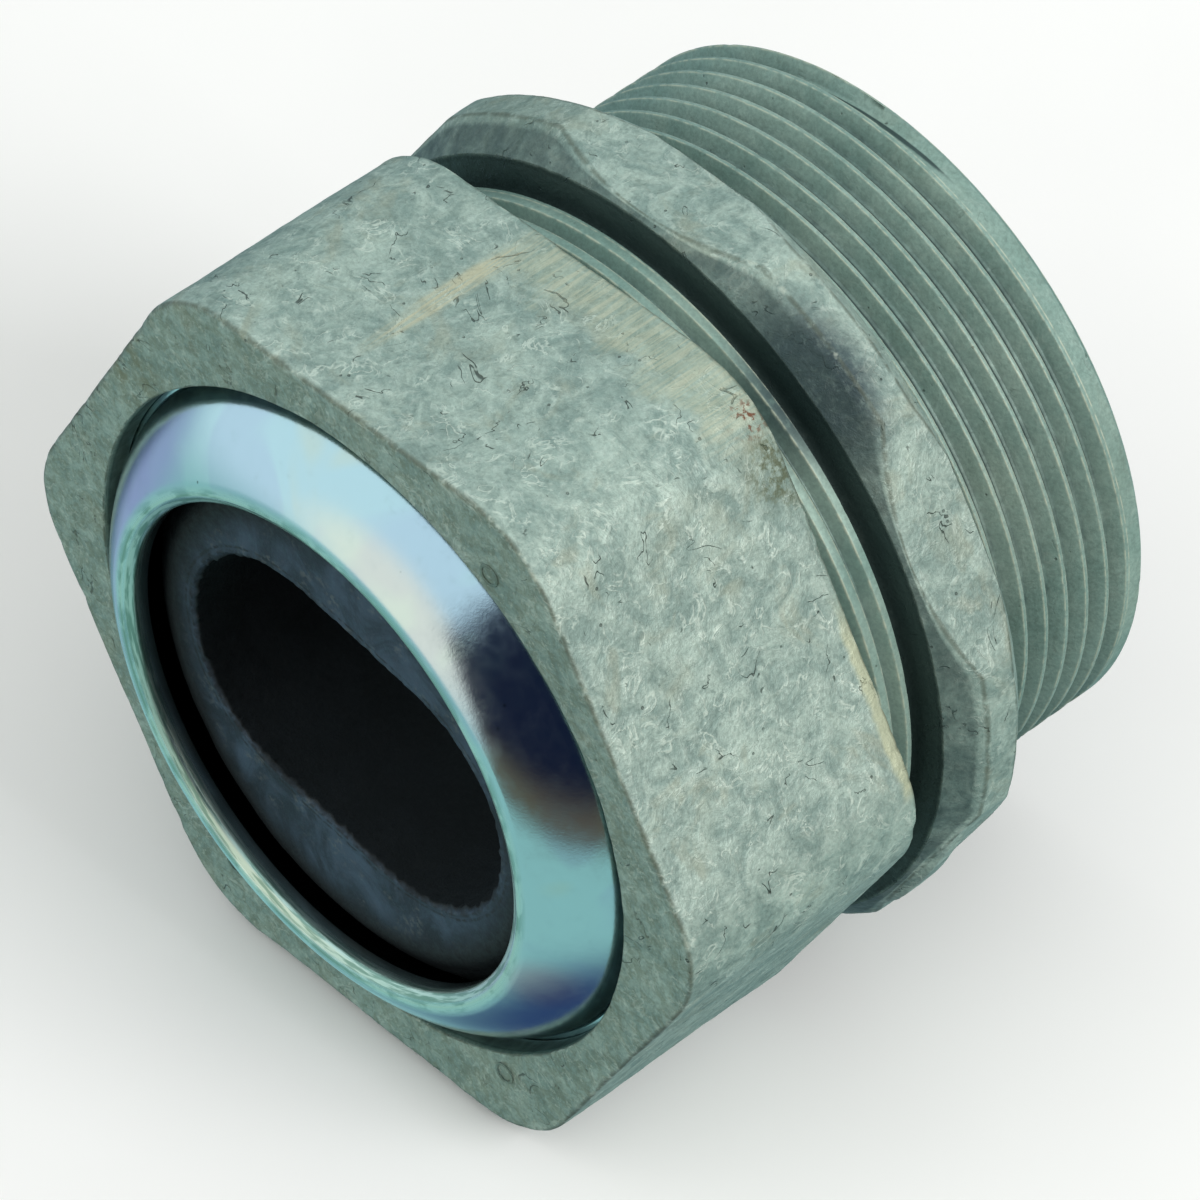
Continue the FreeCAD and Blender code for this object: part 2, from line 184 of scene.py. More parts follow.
class Thread:
    """A right-hand screw thread about Y, given by the middle line of its groove."""

    def __init__(self, crest, depth, crest_width, first, first_angle, last, fade=0.16):
        self.crest, self.depth, self.crest_width = crest, depth, crest_width
        self.first, self.first_angle, self.last, self.fade = first, first_angle, last, fade
        self.half_gap = (PITCH - crest_width) / 2
        self.flank = depth * math.tan(math.radians(HALF_THREAD_ANGLE))

    def radius(self, angle, along):
        turned = (angle - self.first_angle) / 360
        index = np.round((along - self.first) / PITCH + turned)
        middle = self.first + (index - turned) * PITCH
        sunk = rounded_ramp((self.half_gap - np.abs(along - middle)) / self.flank)
        fade = smooth_step(middle, self.first - self.fade, self.first + self.fade)
        fade = fade * (1 - smooth_step(middle, self.last - 2 * self.fade, self.last))
        return self.crest - self.depth * sunk * fade, sunk * fade

    def marks(self, angle, along, sunk):
        """Bright lines on the crest's two edges, painted shade on the rear flank, and a darker root."""
        turned = (angle - self.first_angle) / 360
        index = np.round((along - self.first) / PITCH + turned)
        away = along - (self.first + (index - turned) * PITCH)
        line = np.exp(-((np.abs(away) - self.half_gap) / 0.09) ** 2)
        # Painted shade: the rear flank of each ridge is darkened into a thin shadow line.
        shaded_rear_flank = smooth_step(-away, 0.0, 0.2) * smooth_step(sunk, 0.03, 0.25)
        return {"bare": line, "grime": np.maximum(shaded_rear_flank, 0.45 * smooth_step(sunk, 0.85, 1.0))}

    def rows(self, angle, low, high, fine=True):
        """Places along Y that follow the thread round, pressed flat against the two ends."""
        soft = 0.08 * self.flank
        floor = self.half_gap - self.flank
        half = [0, floor - soft, floor, floor + soft, (floor + self.half_gap) / 2,
                self.half_gap - soft, self.half_gap, self.half_gap + soft, PITCH / 2]
        if not fine:
            half = [0, floor, self.half_gap, PITCH / 2]
        offsets = [-step for step in half[-2:0:-1]] + half
        start = self.first + self.first_angle / 360 * PITCH
        lowest = math.floor((low - start) / PITCH) - 1
        highest = math.ceil((high - start) / PITCH) + 2
        rows = np.array([
            start + index * PITCH + offset for index in range(lowest, highest + 1) for offset in offsets
        ])
        return np.clip(rows[None, :] - PITCH * angle[:, None] / 360, low, high)


class Outline:
    """A closed outline in (radius, Y), drawn at every angle at once. Corners may be rounded.

    Each mark is a share from 0 to 1 that the materials read: "edge" on an arris, "grime" where
    dirt collects and where shade is painted into hollows, recesses and holes, "bare" where the casting was
    cut or rubbed, "cast" where the skin is rough.
    """

    MARKS = ("edge", "grime", "bare", "cast")

    def __init__(self, angle):
        self.angle = angle
        self.corners = []

    def add(self, radius, along, rounding=0.0, steps=1, **marks):
        """A corner. steps divides the side after it, whose marks are given too."""
        size = np.zeros_like(self.angle)
        self.corners.append(("corner", radius + size, along + size, rounding + size, steps, marks))
        return self

    def block(self, radius, along, **marks):
        """Ready-made points, one row of them for each angle."""
        self.corners.append(("block", radius, along, None, 1, marks))
        return self

    def ends(self, item):
        """First and last point of a corner or of a block, as (angles, 2)."""
        kind, radius, along = item[:3]
        if kind == "corner":
            return (np.stack([radius, along], -1),) * 2
        return np.stack([radius[:, 0], along[:, 0]], -1), np.stack([radius[:, -1], along[:, -1]], -1)

    def points(self):
        parts, marks = [], {name: [] for name in self.MARKS}

        def append(points, values, edge=None):
            parts.append(points)
            for name in self.MARKS:
                value = values.get(name, 0.0)
                if name == "edge" and edge is not None:
                    value = np.maximum(value, edge)
                marks[name].append(np.zeros(points.shape[:2]) + value)

        for index, item in enumerate(self.corners):
            kind, radius, along, rounding, steps, values = item
            before = self.ends(self.corners[index - 1])[1]
            after = self.ends(self.corners[(index + 1) % len(self.corners)])[0]
            if kind == "block":
                append(np.stack([radius, along], -1), values)
                leave = self.ends(item)[1]
            else:
                here = np.stack([radius, along], -1)
                if np.any(rounding > 0):
                    back = unit(before - here) * rounding[:, None]
                    ahead = unit(after - here) * rounding[:, None]
                    share = np.array([0.0, 0.25, 0.5, 0.75, 1.0])[None, :, None]
                    curve = here[:, None] + back[:, None] * (1 - share) ** 2 + ahead[:, None] * share ** 2
                    append(curve, values, edge=np.array([0.0, 0.7, 1.0, 0.7, 0.0])[None, :])
                    leave = here + ahead
                else:
                    append(here[:, None], values)
                    leave = here
            if steps > 1:
                following = self.corners[(index + 1) % len(self.corners)]
                reach = after
                if following[0] == "corner" and np.any(following[3] > 0):
                    reach = after + unit(leave - after) * following[3][:, None]
                share = (np.arange(1, steps) / steps)[None, :, None]
                append(leave[:, None] * (1 - share) + reach[:, None] * share, values)
        joined = np.concatenate(parts, axis=1)
        return joined, {name: np.concatenate(marks[name], axis=1) for name in self.MARKS}


def unit(vectors):
    return vectors / np.maximum(np.linalg.norm(vectors, axis=-1, keepdims=True), 1e-9)


def ring_mark(centre, across, up, radius=0.85, width=0.15, height=0.10, around=40, section=8):
    """A small raised ring that an ejector pin left, half sunk in the face: its points and faces."""
    centre, across, up = np.array(centre), np.array(across), np.array(up)
    out = np.cross(across, up)
    points = []
    for step in range(around):
        turn = 2 * math.pi * step / around
        spoke = across * math.cos(turn) + up * math.sin(turn)
        for side in range(section):
            roll = 2 * math.pi * side / section
            points.append(
                centre + spoke * (radius + width * math.cos(roll)) + out * height * math.sin(roll)
            )
    faces = [
        (
            step * section + side,
            (step + 1) % around * section + side,
            (step + 1) % around * section + (side + 1) % section,
            step * section + (side + 1) % section,
        )
        for step in range(around) for side in range(section)
    ]
    return np.array(points), faces


def mesh_object(name, outline, sharp_angle=38.0, extras=()):
    """The solid between neighbouring angles of an outline, closed round the axis."""
    section, marks = outline.points()
    turn = np.radians(outline.angle)[:, None]
    radius, along = section[..., 0], section[..., 1]
    points = np.stack([radius * np.cos(turn), along, radius * np.sin(turn)], -1)
    # The last angle is the first again, without the rounding error of a full turn.
    points[-1] = np.stack([radius[-1], along[-1], 0.0 * radius[-1]], -1)
    count = points.shape[1]
    flat = np.round(points.reshape(-1, 3), 5)
    kept, first, same = np.unique(flat, axis=0, return_index=True, return_inverse=True)
    same = same.reshape(-1)
    columns = np.arange(len(outline.angle) - 1)[:, None] * count
    here = np.arange(count)[None, :]
    ahead = (here + 1) % count
    quads = np.stack(
        [columns + here, columns + ahead, columns + count + ahead, columns + count + here], -1
    ).reshape(-1, 4)
    faces = []
    for face in same[quads].tolist():
        unique = [p for i, p in enumerate(face) if p != face[i - 1]]
        if len(unique) > 2 and len(set(unique)) == len(unique):
            faces.append(unique)
    for extra_points, extra_faces in extras:
        faces += [[index + len(kept) for index in face] for face in extra_faces]
        kept = np.concatenate([kept, extra_points])
    mesh = bpy.data.meshes.new(name)
    mesh.from_pydata((kept * METRES).tolist(), [], faces)
    for mark, values in marks.items():
        attribute = mesh.attributes.new(mark, "FLOAT", "POINT")
        column = np.full(len(kept), 0.3, np.float32)
        column[:len(first)] = values.reshape(-1)[first]
        attribute.data.foreach_set("value", column)
    mesh.shade_smooth()
    mesh.set_sharp_from_angle(angle=math.radians(sharp_angle))
    made = bpy.data.objects.new(name, mesh)
    bpy.context.scene.collection.objects.link(made)
    return made


def read_points(made):
    values = np.zeros(len(made.data.vertices) * 3)
    made.data.vertices.foreach_get("co", values)
    return values.reshape(-1, 3)


def read_mark(made, mark):
    values = np.zeros(len(made.data.vertices), np.float32)
    made.data.attributes[mark].data.foreach_get("value", values)
    return values


def roughen(made, bands):
    """Sinks the cast skin by soft noise. Each band is (cell, depth) in millimetres."""
    points = read_points(made)
    normals = np.zeros(len(points) * 3)
    made.data.vertex_normals.foreach_get("vector", normals)
    skin = read_mark(made, "cast")
    chosen = np.nonzero(skin > 0)[0]
    sunk = np.zeros(len(points))
    for seed, (cell, depth) in enumerate(bands, start=1):
        values = noise_at(points[chosen] / METRES, cell, seed)
        sunk[chosen] += depth * (0.5 - 0.5 * np.clip(values * 1.6, -1, 1))
    points -= normals.reshape(-1, 3) * (sunk * skin * METRES)[:, None]
    made.data.vertices.foreach_set("co", points.ravel())
    made.data.update()


angles = np.linspace(0.0, 360.0, ANGLES_ROUND + 1)


# ---------------------------------------------------------------- connector body

HUB_THREAD = Thread(crest=29.85, depth=1.25, crest_width=0.34, first=1.09, first_angle=140.0, last=17.04)
GLAND_THREAD = Thread(crest=31.2, depth=1.05, crest_width=0.8, first=-29.5, first_angle=0.0, last=-8.3)


def worn_crest(angle, radius, along, sunk, depth, seed):
    """Nicks and rubs the crests of a thread by soft noise."""
    points = on_axis_frame(radius, along, angle)
    nick = smooth_step(noise_at(points, 1.1, seed), 0.38, 0.75)
    rub = 0.5 + 0.5 * noise_at(points, 4.0, seed + 1)
    return radius - depth * (1 - sunk) * (nick + 0.35 * rub)


def flange_side(angle):
    """The body's hexagon at each angle: corners turned down, chamfered at both ends."""
    apothem, turned = body_high.z, body_high.x
    cast = hexagon_radius(angle, apothem, FLANGE_CAST_CORNER)
    outer = np.minimum(cast, turned)
    front = -FLANGE_THICKNESS
    front_end = front + FLANGE_FRONT_REACH * (outer - FLANGE_FRONT_RADIUS) / (turned - FLANGE_FRONT_RADIUS)
    back_radius = np.minimum(outer - 0.12, FLANGE_SHOULDER_RADIUS)
    back_end = -(outer - back_radius)
    return outer, front_end, back_radius, back_end


def collar_round(angle, radius, along):
    """The ridge that stands out of the flat next to the lower right corner."""
    from_flat = np.abs((angle - COLLAR_ANGLE + 180) % 360 - 180)
    rise = smooth_step(along, COLLAR_FRONT - COLLAR_SLOPE, COLLAR_FRONT + COLLAR_SLOPE / 2)
    rise = rise * (1 - smooth_step(along, COLLAR_BACK - COLLAR_SLOPE / 2, COLLAR_BACK + COLLAR_SLOPE))
    lifted = np.maximum(radius, COLLAR_RADIUS)
    return np.where(from_flat < COLLAR_HALF_ANGLE, radius + (lifted - radius) * rise, radius)


def make_body():
    angle = angles
    grid = angle[:, None]
    outline = Outline(angle)
    barrel_front = body_low.y
    neck_front = -(FLANGE_THICKNESS + NECK_LENGTH)
    front = -FLANGE_THICKNESS

    outline.add(SOCKET_RADIUS, barrel_front, 0.2, 2)
    outline.add(GLAND_THREAD.crest - GLAND_LEAD, barrel_front, 0.2, 1)
    rows = GLAND_THREAD.rows(angle, barrel_front + GLAND_LEAD, neck_front)
    radius, sunk = GLAND_THREAD.radius(grid, rows)
    radius = worn_crest(grid, radius, rows, sunk, 0.06, 3)
    outline.block(radius, rows, cast=0.0, **GLAND_THREAD.marks(grid, rows, sunk))
    # Painted shade: the neck and the flange's front face are marked dark, where the nut shades the cove
    # between them.
    outline.add(NECK_RADIUS, neck_front, 0.25, 1, grime=1.0)
    outline.add(NECK_RADIUS, front, 0.8, 6, grime=1.0, cast=0.5)

    outer, front_end, back_radius, back_end = flange_side(angle)
    outline.add(FLANGE_FRONT_RADIUS, front, 0.1, 4, cast=0.8, grime=0.5)
    wander = noise_at(on_axis_frame(outer, front_end, angle), 5.0, 8)
    soft_edge = FLANGE_ARRIS + FLANGE_ARRIS_WANDER * wander
    soft_edge = np.minimum(soft_edge, 0.4 * (outer - FLANGE_FRONT_RADIUS))
    outline.add(outer, front_end, soft_edge, 1, cast=1.0, grime=0.12)
    share = np.linspace(0, 1, 19)[None, 1:-1]
    side_along = front_end[:, None] + soft_edge[:, None] + share * (
        back_end - front_end - 2 * soft_edge)[:, None]
    side_radius = collar_round(grid, outer[:, None] + 0 * share, side_along)
    outline.block(side_radius, side_along, cast=1.0)
    back_edge = np.minimum(0.3, 0.4 * (outer - back_radius))
    outline.add(outer, back_end, back_edge, 1, cast=1.0)
    outline.add(back_radius, 0.0, 0.1, 8, cast=0.6)
    relief = HUB_THREAD.crest - HUB_THREAD.depth
    outline.add(relief, 0.0, 0.3, 2, grime=1.0)

    hub_rows_end = body_high.y - HUB_END_CHAMFER
    rows = HUB_THREAD.rows(angle, HUB_RELIEF_LENGTH, hub_rows_end)
    radius, sunk = HUB_THREAD.radius(grid, rows)
    lead_in = relief + np.maximum(rows - HUB_RELIEF_LENGTH, 0)
    radius = np.minimum(worn_crest(grid, radius, rows, sunk, 0.08, 5), lead_in)
    outline.block(radius, rows, cast=0.25, **HUB_THREAD.marks(grid, rows, sunk))

    outline.add(HUB_THREAD.crest - HUB_END_CHAMFER, body_high.y, 0.2, 6, bare=1.0)
    mouth = THROAT_RADIUS + THROAT_ROUNDING
    for step in range(MOUTH_STEPS + 1):
        turn = math.radians(90 * (1 - step / MOUTH_STEPS))
        outline.add(
            mouth - THROAT_ROUNDING * math.cos(turn), body_high.y - THROAT_ROUNDING * (1 - math.sin(turn)),
            bare=0.4,
        )
    outline.add(THROAT_RADIUS, SEAT_BACK, 0.3, 4, grime=0.4)
    outline.add(SOCKET_RADIUS, SEAT_FRONT, 0.3, 8, grime=0.6)
    made = mesh_object("die_cast_body", outline)
    roughen(made, BODY_SKIN)
    return made


# ---------------------------------------------------------------- gland nut

NUT_THREAD_ROOT = 31.35
NUT_THREAD_HEIGHT = 0.9
NUT_RIDGE_HALF_ROOT = 0.641
NUT_FRONT_ARRIS = 0.5
NUT_BACK_ARRIS = 0.45
KNOCK_DEPTH = 0.30
CHIP_DEPTH = 0.12
EJECTOR_CIRCLE = 31.1
EJECTOR_ANGLES = (60, -60, -120)
EJECTOR_PROUD = 0.01


def nut_thread_radius(angle, along):
    """Internal thread whose ridges stand in the middle of the body's grooves."""
    turned = (angle - GLAND_THREAD.first_angle) / 360
    index = np.round((along - GLAND_THREAD.first) / PITCH + turned)
    middle = GLAND_THREAD.first + (index - turned) * PITCH
    flank = NUT_THREAD_HEIGHT * math.tan(math.radians(HALF_THREAD_ANGLE))
    return NUT_THREAD_ROOT - NUT_THREAD_HEIGHT * rounded_ramp(
        (NUT_RIDGE_HALF_ROOT - np.abs(along - middle)) / flank)


def chips(angle, radius, along, seed, where=None):
    """How far knocks have taken back an edge, in millimetres, at each angle."""
    points = on_axis_frame(radius, along, angle)
    knock = smooth_step(noise_at(points, 2.6, seed), 0.28, 0.7)
    fine = smooth_step(noise_at(points, 0.9, seed + 1), 0.1, 0.7)
    amount = KNOCK_DEPTH * knock + CHIP_DEPTH * fine
    if where is not None:
        middle, spread = where
        off = np.abs((angle - middle + 180) % 360 - 180)
        amount = amount * (0.5 + 1.6 * np.exp(-(off / spread) ** 2))
    return amount


def make_nut():
    angle = angles
    grid = angle[:, None]
    apothem = nut_high.z
    outer = hexagon_radius(angle, apothem, NUT_CORNER)
    face, back = nut_low.y, nut_high.y
    cavity_end = face + NUT_CAVITY_LENGTH
    crest = NUT_THREAD_ROOT - NUT_THREAD_HEIGHT

    outline = Outline(angle)
    outline.add(NUT_OPENING_RADIUS, face, 0.25, 10, cast=0.8)
    front_edge = NUT_FRONT_ARRIS + chips(angle, outer, face, 21)
    outline.add(outer, face, front_edge, 70, cast=1.0)
    back_edge = NUT_BACK_ARRIS + chips(angle, outer, back, 23, where=(8.0, 26.0))
    outline.add(outer, back, back_edge, 5, cast=0.7)
    outline.add(NUT_MOUTH_RADIUS, back, 0.12, 1, grime=0.6)
    rows = GLAND_THREAD.rows(angle, cavity_end + 1.0, back - (NUT_MOUTH_RADIUS - crest), fine=False)
    rows = rows[:, ::-1]
    outline.block(nut_thread_radius(grid, rows), rows, bare=0.5)
    outline.add(NUT_CAVITY_RADIUS, cavity_end, 0.0, 3, grime=0.5)
    outline.add(NUT_CAVITY_RADIUS, face + NUT_LIP, 0.0, 2, grime=0.5)
    outline.add(NUT_OPENING_RADIUS, face + NUT_LIP, 0.1, 5, grime=0.6)
    marks = []
    for corner in EJECTOR_ANGLES:
        turn = math.radians(corner)
        across, up = EJECTOR_CIRCLE * math.cos(turn), EJECTOR_CIRCLE * math.sin(turn)
        spot = (across, face - EJECTOR_PROUD, up)
        marks.append(ring_mark(spot, (1.0, 0.0, 0.0), (0.0, 0.0, 1.0)))
    made = mesh_object("die_cast_nut", outline, extras=marks)
    roughen(made, NUT_SKIN)
    return made


# ---------------------------------------------------------------- slip ring

def make_ring():
    angle = angles
    nose, rim_back, rim = ring_low.y, ring_high.y, ring_high.x
    rim_front = rim_back - RING_SHEET
    crest_along = nose + RING_SHEET / 10
    outline = Outline(angle)
    outline.add(rim, rim_front, 0.15, 1)
    outline.add(rim, rim_back, 0.15, 2)
    inner_shoulder = RING_SHOULDER_RADIUS - RING_SHEET
    inner_lip = nose + 1.2 * RING_SHEET
    inner = bowed((inner_shoulder, rim_back), (RING_BORE_RADIUS, inner_lip), RING_INNER_BOW, 12)
    # Painted shade: the dome's hidden inner side is marked dark.
    for point in inner:
        outline.add(*point, grime=1.0)
    outline.add(RING_BORE_RADIUS, nose + 0.3 * RING_SHEET, 0.3, 3, edge=1.0)
    outline.add(RING_CREST_RADIUS - RING_SHEET / 2, nose, 0.3, 1, edge=0.6)
    shoulder = (RING_SHOULDER_RADIUS, rim_front)
    outer = bowed((RING_CREST_RADIUS, crest_along), shoulder, RING_OUTER_BOW, 28)
    for point in outer:
        outline.add(*point)
    return mesh_object("bright_slip_ring", outline, sharp_angle=60.0)


def bowed(start, end, rise, count):
    """Points on an arc from start to end that stands rise out to the left of the way there."""
    start, end = np.array(start), np.array(end)
    half = np.linalg.norm(end - start) / 2
    radius = (half * half + rise * rise) / (2 * rise)
    along = (end - start) / (2 * half)
    out = np.array([-along[1], along[0]])
    if out[1] > 0:
        out = -out
    centre = (start + end) / 2 + out * (rise - radius)
    spread = math.asin(half / radius)
    return [
        tuple(centre + radius * (along * math.sin(turn) + out * math.cos(turn)))
        for turn in np.linspace(-spread, spread, count)
    ]


# ---------------------------------------------------------------- rubber grommet

def make_grommet():
    angle = angles
    face, tail = rubber_low.y, rubber_high.y
    hole = oval_radius(angle + CABLE_TILT, CABLE_HALF_WIDTH, CABLE_HALF_THICKNESS)
    rim = on_axis_frame(hole, face, angle)
    torn = np.maximum(noise_at(rim, 0.9, 31), 0) + 0.6 * np.maximum(noise_at(rim, 0.45, 32), 0)
    mouth = hole - TEAR_DEPTH * torn
    outline = Outline(angle)
    rag = face + RAG_DROP + RAG_WANDER * noise_at(rim, 0.7, 33)
    # The mouth and inside of the hole, the shoulder and the outer side are marked for painted shade.
    outline.add(hole, face + TORN_MOUTH_DEPTH, 0.3, 3, grime=1.0)
    outline.add(mouth, rag, 0.1, 1, grime=1.0)
    outline.add(hole + LIP_WIDTH + RAG_WANDER * torn, face + LIP_DROP, 0.12, 1, edge=0.8, cast=0.5)
    outline.add(hole + LIP_TO_FACE, face, 0.2, 14, cast=1.0)
    outline.add(RUBBER_FACE_RADIUS, face, 0.9, 3, cast=0.6)
    outline.add(RUBBER_SHOULDER_RADIUS, face + RUBBER_SHOULDER_DROP, 0.5, 5, grime=1.0)
    outline.add(rubber_high.x, ring_high.y + 5 * RUBBER_GAP, 0.5, 24, grime=1.0)
    outline.add(rubber_high.x, SEAT_FRONT - RUBBER_GAP, 0.3, 4)
    outline.add(RUBBER_TAIL_RADIUS, tail, 0.3, 3)
    outline.add(hole, tail, 0.3, 40, grime=1.0)
    made = mesh_object("black_rubber_grommet", outline, sharp_angle=50.0)
    roughen(made, RUBBER_SKIN)
    return made


# ---------------------------------------------------------------- materials

# Middles of the spots where the pieces are worn or stained, of the painted shade on one corner of the
# flange, and of a darker patch on another.
SCRAPE = (-3.8, -22.0, 33.1)
OLIVE_STAIN = (22.6, -13.6, 27.4)
RUST_SPOT = (20.2, -14.4, 31.6)
FACE_STAIN = (-24.5, -36.8, 20.5)
FLANGE_CORNER_SHADE = (19.6, -7.2, 29.9)
FLANGE_BROWN_CORNER = (-17.5, -4.0, 30.5)
RING_BLUSH = (23.5, -39.8, -9.0)

# Where a worn strip starts and where it is full, along one axis each.
FILED_FRONT = (-15.5, -12.0)
FILED_LEFT = (-6.0, -1.0)
FILED_RIGHT = (23.0, 18.0)
FILED_UP = (27.0, 29.5)
RUBBED_BACK = (-13.9, -13.3)
RUBBED_OUT = (27.5, 30.0)
RUBBED_UP = (1.5, 3.5)
# Painted shade: outside this radius the rubber's face is painted near black, fading in over this width.
UNSHADED_RADIUS = 16.6
SHADE_FADE_WIDTH = 3.2


def colour(red, green, blue):
    """A colour as a screen shows it, from 0 to 255, as the linear numbers of a shader."""
    def linear(level):
        share = level / 255
        return share / 12.92 if share <= 0.04045 else ((share + 0.055) / 1.055) ** 2.4
    return (linear(red), linear(green), linear(blue), 1.0)


class Shader:
    """A material's node tree, with a short call for each kind of node that is used here."""

    def __init__(self, name):
        self.material = bpy.data.materials.new(name)
        self.material.use_nodes = True
        self.nodes = self.material.node_tree.nodes
        self.links = self.material.node_tree.links
        self.nodes.clear()
        output = self.nodes.new("ShaderNodeOutputMaterial")
        self.surface = self.nodes.new("ShaderNodeBsdfPrincipled")
        self.links.new(self.surface.outputs["BSDF"], output.inputs["Surface"])
        place = self.nodes.new("ShaderNodeTexCoord").outputs["Object"]
        self.place = self.scaled(place, (1 / METRES,) * 3)
        split = self.nodes.new("ShaderNodeSeparateXYZ")
        self.put(self.place, split.inputs[0])
        self.x, self.y, self.z = split.outputs

    def put(self, value, socket):
        if isinstance(value, bpy.types.NodeSocket):
            self.links.new(value, socket)
        else:
            socket.default_value = value

    def math(self, operation, first, second=0.0):
        node = self.nodes.new("ShaderNodeMath")
        node.operation = operation
        self.put(first, node.inputs[0])
        self.put(second, node.inputs[1])
        return node.outputs[0]

    def times(self, first, *others):
        for other in others:
            first = self.math("MULTIPLY", first, other)
        return first

    def sum(self, *weighted):
        """The sum of (value, weight) pairs."""
        total = self.times(*weighted[0])
        for value, weight in weighted[1:]:
            total = self.math("ADD", total, self.times(value, weight))
        return total

    def vector(self, operation, first, second):
        node = self.nodes.new("ShaderNodeVectorMath")
        node.operation = operation
        self.put(first, node.inputs[0])
        self.put(second, node.inputs[1])
        return node.outputs["Value"] if operation == "DISTANCE" else node.outputs[0]

    def scaled(self, place, factors):
        return self.vector("MULTIPLY", place, factors)

    def noise(self, size, detail=3.0, roughness=0.55, distortion=0.0, seed=0, place=None):
        """Noise from 0 to 1 with features of a size in millimetres."""
        node = self.nodes.new("ShaderNodeTexNoise")
        moved = self.vector("ADD", place or self.place, (seed * 37.0, seed * 11.0, seed * 23.0))
        self.put(moved, node.inputs["Vector"])
        node.inputs["Scale"].default_value = 1 / size
        node.inputs["Detail"].default_value = detail
        node.inputs["Roughness"].default_value = roughness
        node.inputs["Distortion"].default_value = distortion
        return node.outputs["Fac"]

    def dots(self, spacing, low, high):
        """Round spots, about one in each cell of a spacing in millimetres."""
        node = self.nodes.new("ShaderNodeTexVoronoi")
        self.put(self.place, node.inputs["Vector"])
        node.inputs["Scale"].default_value = 1 / spacing
        return self.step(node.outputs["Distance"], high, low)

    def line(self, value, width, soft):
        """A thin line where a noise crosses its middle."""
        away = self.math("ABSOLUTE", self.math("SUBTRACT", value, 0.5))
        return self.step(away, width + soft, width)

    def step(self, value, low, high, reach=(0.0, 1.0)):
        """Smoothly from reach[0] to reach[1] as value goes from low to high."""
        node = self.nodes.new("ShaderNodeMapRange")
        node.interpolation_type = "SMOOTHSTEP"
        if low > high:
            low, high, reach = high, low, (reach[1], reach[0])
        self.put(value, node.inputs["Value"])
        node.inputs["From Min"].default_value = low
        node.inputs["From Max"].default_value = high
        node.inputs["To Min"].default_value = reach[0]
        node.inputs["To Max"].default_value = reach[1]
        return node.outputs[0]

    def mix(self, share, first, second, blend="MIX"):
        node = self.nodes.new("ShaderNodeMix")
        node.data_type = "RGBA"
        node.blend_type = blend
        self.put(share, node.inputs[0])
        self.put(first, node.inputs[6])
        self.put(second, node.inputs[7])
        return node.outputs[2]

    def shade(self, tone, value):
        """The tone made darker or lighter by a value about 1."""
        node = self.nodes.new("ShaderNodeCombineColor")
        for socket in node.inputs[:3]:
            self.put(value, socket)
        return self.mix(1.0, tone, node.outputs[0], "MULTIPLY")

    def mark(self, name):
        node = self.nodes.new("ShaderNodeAttribute")
        node.attribute_name = name
        return node.outputs["Fac"]

    def near(self, centre, radius, edge, stretch=(1.0, 1.0, 1.0)):
        """1 within a radius of a point in millimetres, falling to 0 over the edge width."""
        place = self.scaled(self.vector("SUBTRACT", self.place, centre), stretch)
        away = self.vector("DISTANCE", place, (0.0, 0.0, 0.0))
        return self.step(away, radius + edge, radius)

    def bump(self, height, depth):
        node = self.nodes.new("ShaderNodeBump")
        node.inputs["Distance"].default_value = depth * METRES
        self.put(height, node.inputs["Height"])
        return node.outputs["Normal"]

    def set(self, **values):
        for name, value in values.items():
            self.put(value, self.surface.inputs[name.replace("_", " ").title()])
        return self.material


